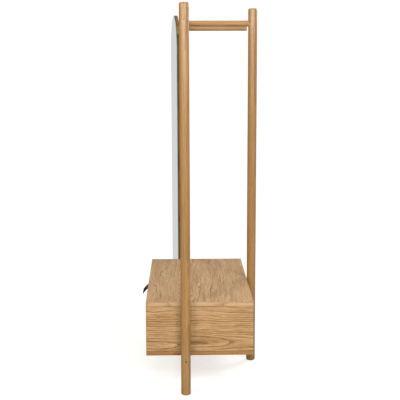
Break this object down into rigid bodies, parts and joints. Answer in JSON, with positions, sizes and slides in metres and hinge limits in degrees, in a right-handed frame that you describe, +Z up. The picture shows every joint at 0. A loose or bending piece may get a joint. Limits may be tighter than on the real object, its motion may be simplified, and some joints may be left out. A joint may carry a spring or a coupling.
{
  "type": "valet stand",
  "caption": "Free-standing valet stand: round oak posts, a T-shaped hanging rail, a low case with a drawer on runners and a tall arched mirror that swings on the left post.",
  "frame": {"origin": "on the floor, at the centre of the rear foot's glide", "axes": "+Z up along the posts, -Y towards the user and the drawer's opening side, +X to the right of a user who faces the stand"},
  "size_m": [1.2282, 0.516, 1.601],
  "materials": {
    "oak": "oiled solid oak, satin, grain along each post or bar",
    "oak_panel": "oiled oak panel, satin, fine open grain",
    "oak_board": "brown-stained oak board behind the mirror",
    "birch_ply": "lacquered birch plywood of the drawer box",
    "beech": "plain beech dowels",
    "mirror": "silvered glass with a polished green edge",
    "leather": "black vegetable-tanned strap leather",
    "bronze": "dark bronze, brushed and oiled",
    "blackened_steel": "blackened steel bolt heads",
    "brass_insert": "plain turned brass",
    "zinc_steel": "bright zinc-plated steel",
    "runner_steel": "zinc-plated rolled steel",
    "nylon": "black nylon",
    "tape": "black foam mounting tape"
  },
  "bodies": {
    "stand": {"left_front_post": "oak", "right_front_post": "oak", "rear_post": "oak", "top_cross_bar": "oak", "top_centre_rail": "oak", "lower_cross_bar": "oak", "lower_centre_rail": "oak", "hanging_peg": "oak", "frame_bolts": "blackened_steel", "tee_bolts": "blackened_steel", "bar_inserts": "brass_insert", "foot_glides": "nylon", "case_top": "oak_panel", "case_bottom": "oak_panel", "case_side_left": "oak_panel", "case_side_right": "oak_panel", "case_back": "oak_panel", "case_dowels": "beech", "case_back_dowels": "beech", "case_fixing_screws": "zinc_steel", "runner_outer_left": "runner_steel", "runner_outer_right": "runner_steel", "runner_case_screws": "zinc_steel", "hinge_base_upper": "bronze", "hinge_base_lower": "bronze", "hinge_pins": "zinc_steel", "hinge_washers": "nylon", "hinge_base_screws": "bronze"},
    "runner_middles": {"runner_middle_left": "runner_steel", "runner_middle_right": "runner_steel"},
    "drawer": {"runner_inner_left": "runner_steel", "runner_inner_right": "runner_steel", "runner_drawer_screws": "zinc_steel", "drawer_front": "oak_panel", "drawer_side_left": "birch_ply", "drawer_side_right": "birch_ply", "drawer_back": "birch_ply", "drawer_bottom": "birch_ply", "drawer_dowels": "beech", "drawer_back_screws": "zinc_steel", "pull_strap": "leather", "pull_clamp": "zinc_steel", "pull_screws": "zinc_steel"},
    "mirror": {"mirror_glass": "mirror", "mirror_tape": "tape", "mirror_board": "oak_board", "hinge_leaf_upper": "bronze", "hinge_leaf_lower": "bronze", "hinge_leaf_screws": "bronze"}
  },
  "joints": [
    {"name": "drawer_slide", "type": "slide", "parent": "stand", "child": "drawer", "axis": [0, -1, 0], "range_m": [0, 0.24]},
    {"name": "runner_middle_slide", "type": "slide", "parent": "stand", "child": "runner_middles", "axis": [0, -1, 0], "range_m": [0, 0.12]},
    {"name": "mirror_swing", "type": "hinge", "parent": "stand", "child": "mirror", "pos_m": [-0.44, -0.327, 0.8], "axis": [0, 0, 1], "range_deg": [-25, 80]}
  ],
  "couplings": [
    {"joint": "runner_middle_slide", "follows": "drawer_slide", "ratio": 0.5}
  ]
}
